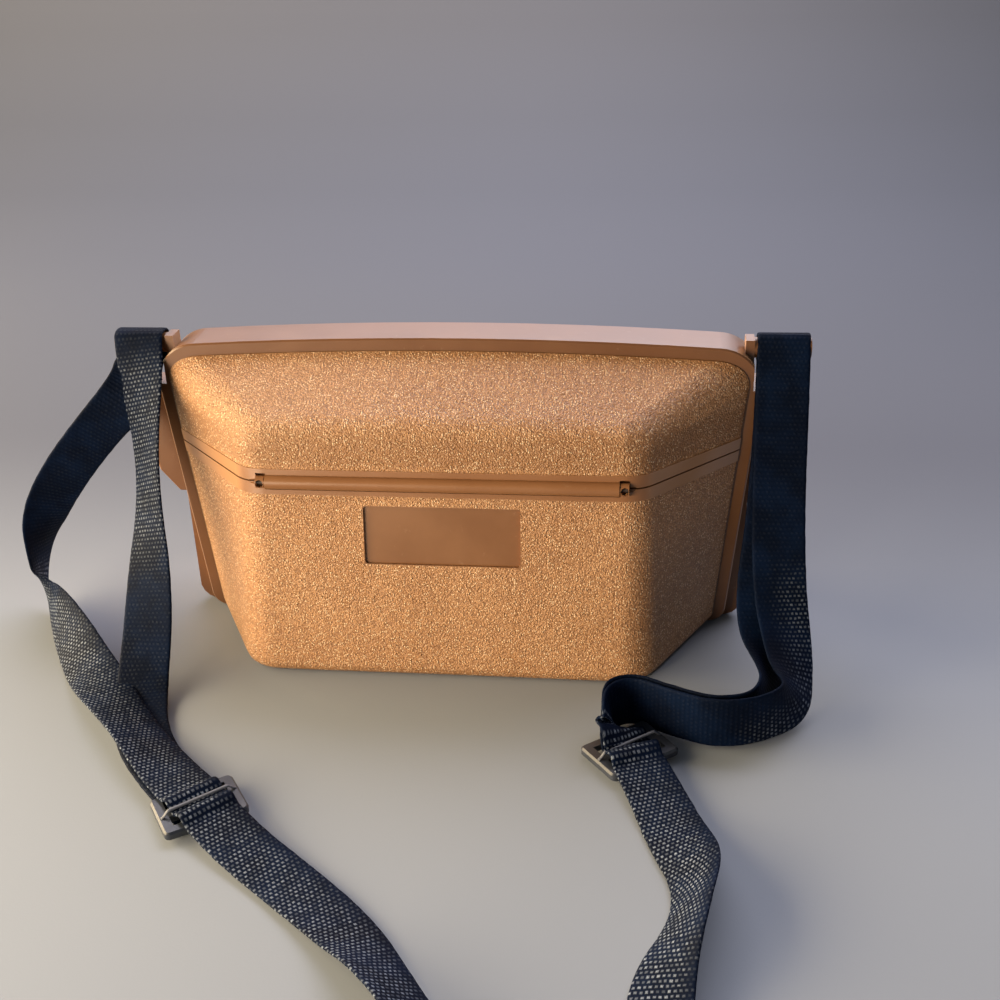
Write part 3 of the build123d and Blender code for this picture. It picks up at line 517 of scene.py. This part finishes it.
def polished_parts(n, place, where, x, y, z):
    """Where the mould was polished: the band, the strip along the parting, the recess and the inside."""
    behind = n.span(y, BAND_BACK - 0.0003, BAND_BACK + 0.0003)
    band = n.product(n.span(y, -0.0009, -0.0003), n.maths("SUBTRACT", 1, behind))
    flange = n.span(n.off(z, PARTING), FLANGE_HALF + 0.0002, FLANGE_HALF - 0.0002)
    flange = n.product(flange, n.span(y, 0.0, -0.001))
    half_x = n.span(n.maths("ABSOLUTE", x), RECESS_HALF_X + 0.0002, RECESS_HALF_X - 0.0002)
    half_z = n.span(n.off(z, RECESS_MIDDLE), RECESS_HALF_Z + 0.0002, RECESS_HALF_Z - 0.0002)
    recess = n.product(half_x, half_z, n.span(y, -0.02, -0.022))
    from_middle = n.vector_maths("SUBTRACT", where, HOLLOW_MIDDLE).outputs[0]
    outward = n.vector_maths("DOT_PRODUCT", place.outputs["Normal"], from_middle).outputs["Value"]
    inside = n.span(outward, 0.0, -0.002)
    smooth = n.maths("MAXIMUM", n.maths("MAXIMUM", band, flange), n.maths("MAXIMUM", recess, inside))
    return smooth, band, flange


def shell_material():
    """Sand-blasted moulding: a fine speckled grain, smooth where the mould was polished, with painted light
    and shade on the grain, the bend, the flanks, the band's face and the seams.
    """
    n = Nodes("grained_shell")
    place = n.add("ShaderNodeTexCoord")
    where = place.outputs["Object"]
    x, y, z = n.parts(where)
    smooth, band, flange = polished_parts(n, place, where, x, y, z)
    grain = n.maths("SUBTRACT", 1, smooth, clamp=True)

    # the grain: uneven specks under a millimetre, some in clumps
    cell = n.cells(where, 1400)
    speck = cell.outputs["Distance"]
    chance = n.add("ShaderNodeSeparateColor")
    n.link(cell.outputs["Color"], chance.inputs[0])
    chance = chance.outputs[0]
    crumb = n.cells(where, 2200).outputs["Distance"]
    height = n.product(n.maths("SUBTRACT", 0.62, speck), n.span(chance, 0.0, 1.0, 0.2, 1.6, smooth=False))
    height = n.maths("ADD", height, n.product(n.maths("SUBTRACT", 0.5, crumb), 0.35))
    height = n.maths("ADD", height, n.swing(n.noise(where, 1400, 4, 0.72), 0.5, 0.45))
    height = n.maths("ADD", height, n.swing(n.noise(where, 480, 2, 0.6), 0.5, 0.5))
    graining = n.bump(height, 0.00048, grain)
    normal = n.bump(n.noise(where, 95, 3, 0.55), 0.0006, 0.12, graining)

    # the grained faces: tone in random patches, painted shade in the grain's hollows, on dark specks and on
    # the bend, and painted highlights on the grain's tips and bright specks
    patch = n.noise(where, 28, 4, 0.6)
    body = n.mix(n.span(patch, 0.35, 0.68), *MOULDING)
    # painted shade in the grain's hollows and painted highlight on its tips
    body = n.mix(n.product(n.span(height, 0.2, -0.12, smooth=False), grain, 0.6), body, GRAIN_HOLLOW_SHADE)
    body = n.mix(n.product(n.span(height, 0.42, 0.85, smooth=False), grain, 0.5), body, GRAIN_TIP_HIGHLIGHT)
    # darker where the top slope bends down to the front: painted shade
    bend_shade = n.product(n.span(z, 0.083, 0.087), n.span(z, 0.1, 0.094))
    body = n.mix(n.product(bend_shade, grain, 0.42), body, BEND_SHADE)
    # painted glints and painted shade on random specks of the grain
    dot = n.product(n.span(speck, 0.55, 0.2), grain)
    body = n.mix(n.product(dot, n.span(chance, 0.6, 0.95, 0.0, 0.85)), body, SPECK_GLINT)
    body = n.mix(n.product(dot, n.span(chance, 0.38, 0.05, 0.0, 0.75)), body, SPECK_SHADE)

    # the smooth ones: side-facing faces take a lighter copy of the colour, painted light, and the band's
    # front-facing face a darker one, painted shade
    across, along, _ = n.parts(place.outputs["Normal"])
    flank = n.span(n.maths("ABSOLUTE", across), 0.45, 0.75)
    polished = n.mix(flank, n.mix(n.span(patch, 0.3, 0.7), *POLISHED), POLISHED_FLANK_LIT)
    # the band's front-facing face darker: painted shade
    polished = n.mix(n.product(band, n.span(along, -0.4, -0.8), 0.4), polished, BAND_FACE_SHADE)
    polished = n.mix(n.product(flange, 0.5), polished, STRIP)
    body = n.mix(smooth, body, polished)

    # painted shade in the seams at the band's front and at the lap, on the flanks below the top, and light
    # scuffs
    edge = n.span(n.off(y, -0.0004), 0.0009, 0.0005)
    lap = n.span(n.off(y, LAP_SEAM), 0.0006, 0.0003)
    seam_shade = n.product(n.maths("MAXIMUM", edge, lap), flank, n.span(z, 0.112, 0.108), 0.85)
    body = n.mix(seam_shade, body, SEAM_SHADE)
    scuff = n.span(n.noise(where, 240, 6, 0.75), 0.6, 0.72)
    body = n.mix(n.product(scuff, 0.12), body, SCUFF)
    rough = n.maths("ADD", n.mix(smooth, (0.46, 0.46, 0.46), (0.34, 0.34, 0.34)), n.swing(patch, 0.5, 0.2))
    n.shader.inputs["Specular IOR Level"].default_value = 0.62
    return n.finish(body, rough, normal)


shell = shell_material()
for name in ("rear_shell", "front_shell", "lid"):
    set_material(nodes[name], shell)


# Small parts
def steel_material():
    """Brushed steel with faint stains."""
    n = Nodes("brushed_steel")
    where = n.add("ShaderNodeTexCoord").outputs["Object"]
    stretch = n.add("ShaderNodeMapping")
    n.link(where, stretch.inputs["Vector"])
    stretch.inputs["Scale"].default_value = (60, 2600, 2600)
    lines = n.noise(stretch.outputs[0], 1.0, 3, 0.6)
    stain = n.noise(where, 180, 4, 0.6)
    colour = n.mix(n.span(stain, 0.35, 0.7), (0.46, 0.45, 0.43), (0.6, 0.59, 0.57))
    n.shader.inputs["Metallic"].default_value = 1.0
    rough = n.maths("ADD", 0.24, n.product(lines, 0.22))
    return n.finish(colour, rough, n.bump(lines, 0.00003, 0.6))


def moulded_material(name, colour, roughness, specular, grain_depth=0.00004):
    """A plain moulded plastic with a fine grain, paler patches and scratches."""
    n = Nodes(name)
    where = n.add("ShaderNodeTexCoord").outputs["Object"]
    fine = n.noise(where, 2600, 3, 0.6)
    patch = n.noise(where, 90, 3, 0.6)
    scratch = n.add("ShaderNodeMapping")
    n.link(where, scratch.inputs["Vector"])
    scratch.inputs["Rotation"].default_value = (0.2, 0.1, 0.7)
    scratch.inputs["Scale"].default_value = (90, 3600, 900)
    lines = n.span(n.noise(scratch.outputs[0], 1, 2, 0.5), 0.66, 0.74)
    lighter = tuple(min(1, c * 1.5 + 0.015) for c in colour)
    scratched = tuple(min(1, c * 2.2 + 0.04) for c in colour)
    paint = n.mix(n.span(patch, 0.3, 0.7), colour, lighter)
    paint = n.mix(n.product(lines, 0.25), paint, scratched)
    n.shader.inputs["Specular IOR Level"].default_value = specular
    rough = n.maths("ADD", roughness, n.swing(fine, 0.5, 0.25))
    return n.finish(paint, rough, n.bump(fine, grain_depth, 0.8))


steel = steel_material()
knob = moulded_material("dark_knob", (0.026, 0.016, 0.011), 0.42, 0.5)
slider = moulded_material("dark_slider", (0.02, 0.025, 0.036), 0.34, 0.55, 0.00002)
# the slider's middle bar: a paler copy of the slider plastic, a painted highlight on a worn bar
bar_highlight = moulded_material("worn_bar_highlight", (0.11, 0.12, 0.145), 0.42, 0.5, 0.00003)
# the hinge pin made dark so the notches read dark: painted shade
pin_shade = moulded_material("pin_painted_shade", (0.03, 0.02, 0.015), 0.5, 0.4)
for name in nodes:
    if name in ("keeper", "latch_bolt", "latch_guide") or "screw" in name:
        set_material(nodes[name], steel)
set_material(nodes["hinge_pin"], pin_shade)
set_material(nodes["latch_knob"], knob)
for name in ("left_slider", "right_slider"):
    set_material(nodes[name], slider)


BAR_REACH, BAR_FLAT = 0.0136, 0.0104  # from the middle to its end, and to where it starts to come down
BAR_FOOT, BAR_RISE = 0.0046, 0.0022
BAR_HALF_WIDTH, BAR_HALF_HEIGHT = 0.0006, 0.0005
BAR_STEPS, BAR_SIDES = 56, 16


def cross_bar(name, place, axis):
    """The raised middle bar of a slider: out of the frame at one end, over the webbing and down again."""
    along = Vector(axis).normalized()
    side = Vector((-along.y, along.x, 0))
    up = Vector((0, 0, 1))
    turns = [2 * pi * q / BAR_SIDES for q in range(BAR_SIDES)]
    mesh = bmesh.new()
    rings = []
    for k in range(BAR_STEPS + 1):
        off = BAR_REACH * (2 * k / BAR_STEPS - 1)
        middle = Vector((*place, BAR_FOOT + BAR_RISE * ease(abs(off), BAR_REACH, BAR_FLAT))) + along * off
        ring = [middle + side * BAR_HALF_WIDTH * cos(t) + up * BAR_HALF_HEIGHT * sin(t) for t in turns]
        rings.append([mesh.verts.new(v) for v in ring])
    for a, b in zip(rings, rings[1:]):
        for q in range(BAR_SIDES):
            m = (q + 1) % BAR_SIDES
            mesh.faces.new((a[q], a[m], b[m], b[q])).smooth = True
    for ring in (rings[0], rings[-1]):
        mesh.faces.new(ring)
    bmesh.ops.recalc_face_normals(mesh, faces=mesh.faces)
    bar = object_from(name, mesh)
    bar.data.materials.append(bar_highlight)
    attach(bar, "case")


cross_bar("left_slider_bar", LEFT_SLIDER, (0.74, 0.67, 0))
cross_bar("right_slider_bar", RIGHT_SLIDER, (0.78, 0.62, 0))


# Lining
QUILT_PUFF, QUILT_PITCH = 0.0012, 0.022
QUILT_UNEVEN = 0.0004
PAD_VOXEL = 0.0021
PAD_SKIN = 0.0001  # the pad starts this far inside its solid


def napped_material():
    """Dark foam with a brushed nap."""
    n = Nodes("napped_foam")
    where = n.add("ShaderNodeTexCoord").outputs["Object"]
    nap = n.noise(where, 3000, 5, 0.75)
    brushed = n.noise(where, 130, 4, 0.6)
    colour = n.mix(n.span(brushed, 0.35, 0.68), (0.022, 0.023, 0.028), (0.045, 0.047, 0.055))
    colour = n.mix(n.span(nap, 0.5, 0.8), colour, (0.09, 0.092, 0.1))
    n.shader.inputs["Sheen Weight"].default_value = 0.5
    n.shader.inputs["Sheen Roughness"].default_value = 0.4
    return n.finish(colour, 0.92, n.bump(nap, 0.0003, 0.8))


foam = napped_material()


def padded_piece(name, node, body, face, quilt):
    """A quilted pad in the space of its CAD solid: soft corners, and channels sewn across its open face."""
    source = nodes[node]
    copy = bpy.data.objects.new(name, source.data.copy())
    scene.collection.objects.link(copy)
    copy.matrix_world = source.matrix_world
    lumps = copy.modifiers.new("lumps", "REMESH")
    lumps.mode, lumps.voxel_size = "VOXEL", PAD_VOXEL
    soften = copy.modifiers.new("soften", "SMOOTH")
    soften.factor, soften.iterations = 0.6, 6
    shown = copy.evaluated_get(bpy.context.evaluated_depsgraph_get())
    data = bpy.data.meshes.new_from_object(shown)
    copy.modifiers.clear()
    copy.data = data
    open_way = Vector(face)
    a, b = (Vector(v) for v in quilt)
    for v in data.vertices:
        v.co -= v.normal * PAD_SKIN
    data.update()
    moved = []
    for v in data.vertices:
        facing = max(0.0, v.normal.dot(open_way))
        u, w = v.co.dot(a), v.co.dot(b)
        cushion = abs(sin(pi * (u + w) / QUILT_PITCH) * sin(pi * (u - w) / QUILT_PITCH)) ** 0.35
        swell = (cushion - 0.55) * QUILT_PUFF + noise.noise(v.co * 40) * QUILT_UNEVEN
        moved.append(v.co + v.normal * swell * facing ** 2)
    for v, place in zip(data.vertices, moved):
        v.co = place
    for p in data.polygons:
        p.use_smooth = True
    round_off = copy.modifiers.new("round", "SUBSURF")
    round_off.levels = round_off.render_levels = 1
    data.materials.clear()
    data.materials.append(foam)
    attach(copy, body)
    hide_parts(node)


padded_piece("lining_base", "base_pad", "case", (0, 0, 1), ((1, 0, 0), (0, 1, 0)))
padded_piece("lining_back", "back_pad", "case", (0, -1, 0), ((1, 0, 0), (0, 0, 1)))
padded_piece("lining_front", "front_pad", "case", (0, 1, 0), ((1, 0, 0), (0, 0, 1)))
padded_piece("lining_lid", "lid_pad", "lid", (0, 0.4, -0.9), ((1, 0, 0), (0, 1, 0)))
padded_piece("lining_divider", "divider", "case", (-1, 0, 0), ((0, 1, 0), (0, 0, 1)))


# Stage
STAGE_PROFILE = (
    (-1.6, 0.0), (0.55, 0.0), (0.72, 0.015), (0.84, 0.06), (0.92, 0.14), (0.96, 0.26), (0.97, 2.2),
)  # y and z
STAGE_HALF_WIDTH = 2.6
FLOOR = ((0.29, 0.325, 0.372), (0.307, 0.343, 0.39))
FAR_FLOOR_SHADE = (0.105, 0.117, 0.146)
WALL = (0.143, 0.155, 0.188)
FAR_RIGHT_SHADE = (0.045, 0.053, 0.068)


def make_stage():
    """A paper sweep: the floor, with painted shade darkening it behind the case and toward the far right,
    curved up into the wall.
    """
    mesh = bmesh.new()
    edges = (-STAGE_HALF_WIDTH, STAGE_HALF_WIDTH)
    rows = [[mesh.verts.new((x, y, z)) for y, z in STAGE_PROFILE] for x in edges]
    for k in range(len(STAGE_PROFILE) - 1):
        face = mesh.faces.new((rows[0][k], rows[1][k], rows[1][k + 1], rows[0][k + 1]))
        face.smooth = True
    floor = object_from("studio_floor", mesh)
    n = Nodes("paper_floor")
    where = n.add("ShaderNodeTexCoord").outputs["Object"]
    cloud = n.noise(where, 6, 3, 0.5)
    paper = n.noise(where, 900, 3, 0.6)
    x, y, z = n.parts(where)
    # painted shade: darker behind the case and toward the far right
    colour = n.mix(n.span(y, -0.13, 0.2), n.mix(cloud, *FLOOR), FAR_FLOOR_SHADE)
    colour = n.mix(n.span(z, 0.0, 0.25), colour, WALL)
    colour = n.mix(n.product(n.span(x, -0.1, 0.8), n.span(y, 0.1, 0.5), 0.9), colour, FAR_RIGHT_SHADE)
    floor.data.materials.append(n.finish(colour, 0.85, n.bump(paper, 0.0001, 0.25)))


def area_light(name, place, aim, size, power, colour, spread=180):
    """A soft lamp, itself out of the picture. The spread is in degrees."""
    data = bpy.data.lights.new(name, "AREA")
    data.shape = "RECTANGLE"
    data.size, data.size_y = size
    data.energy = power
    data.spread = radians(spread)
    data.color = colour
    light = bpy.data.objects.new(name, data)
    scene.collection.objects.link(light)
    light.visible_camera = False
    light.location = place
    light.rotation_euler = (Vector(aim) - Vector(place)).to_track_quat("-Z", "Y").to_euler()


make_stage()
area_light("key", (-1.0, 0.0, 0.32), (0, 0, 0.05), (1.1, 0.8), 30, (1.0, 0.78, 0.48))
area_light("sky", (0.1, 0.7, 0.75), (0, 0, 0.1), (1.5, 0.8), 18, (0.95, 0.9, 1.0))
area_light("front", (-0.42, -0.52, 0.14), (-0.02, -0.04, 0.035), (0.4, 0.3), 1.25, (1.0, 0.81, 0.58), 80)
world = bpy.data.worlds.new("studio")
scene.world = world
world.use_nodes = True
background = world.node_tree.nodes["Background"]
background.inputs["Color"].default_value = (0.9, 0.92, 1.0, 1)
background.inputs["Strength"].default_value = 0.1
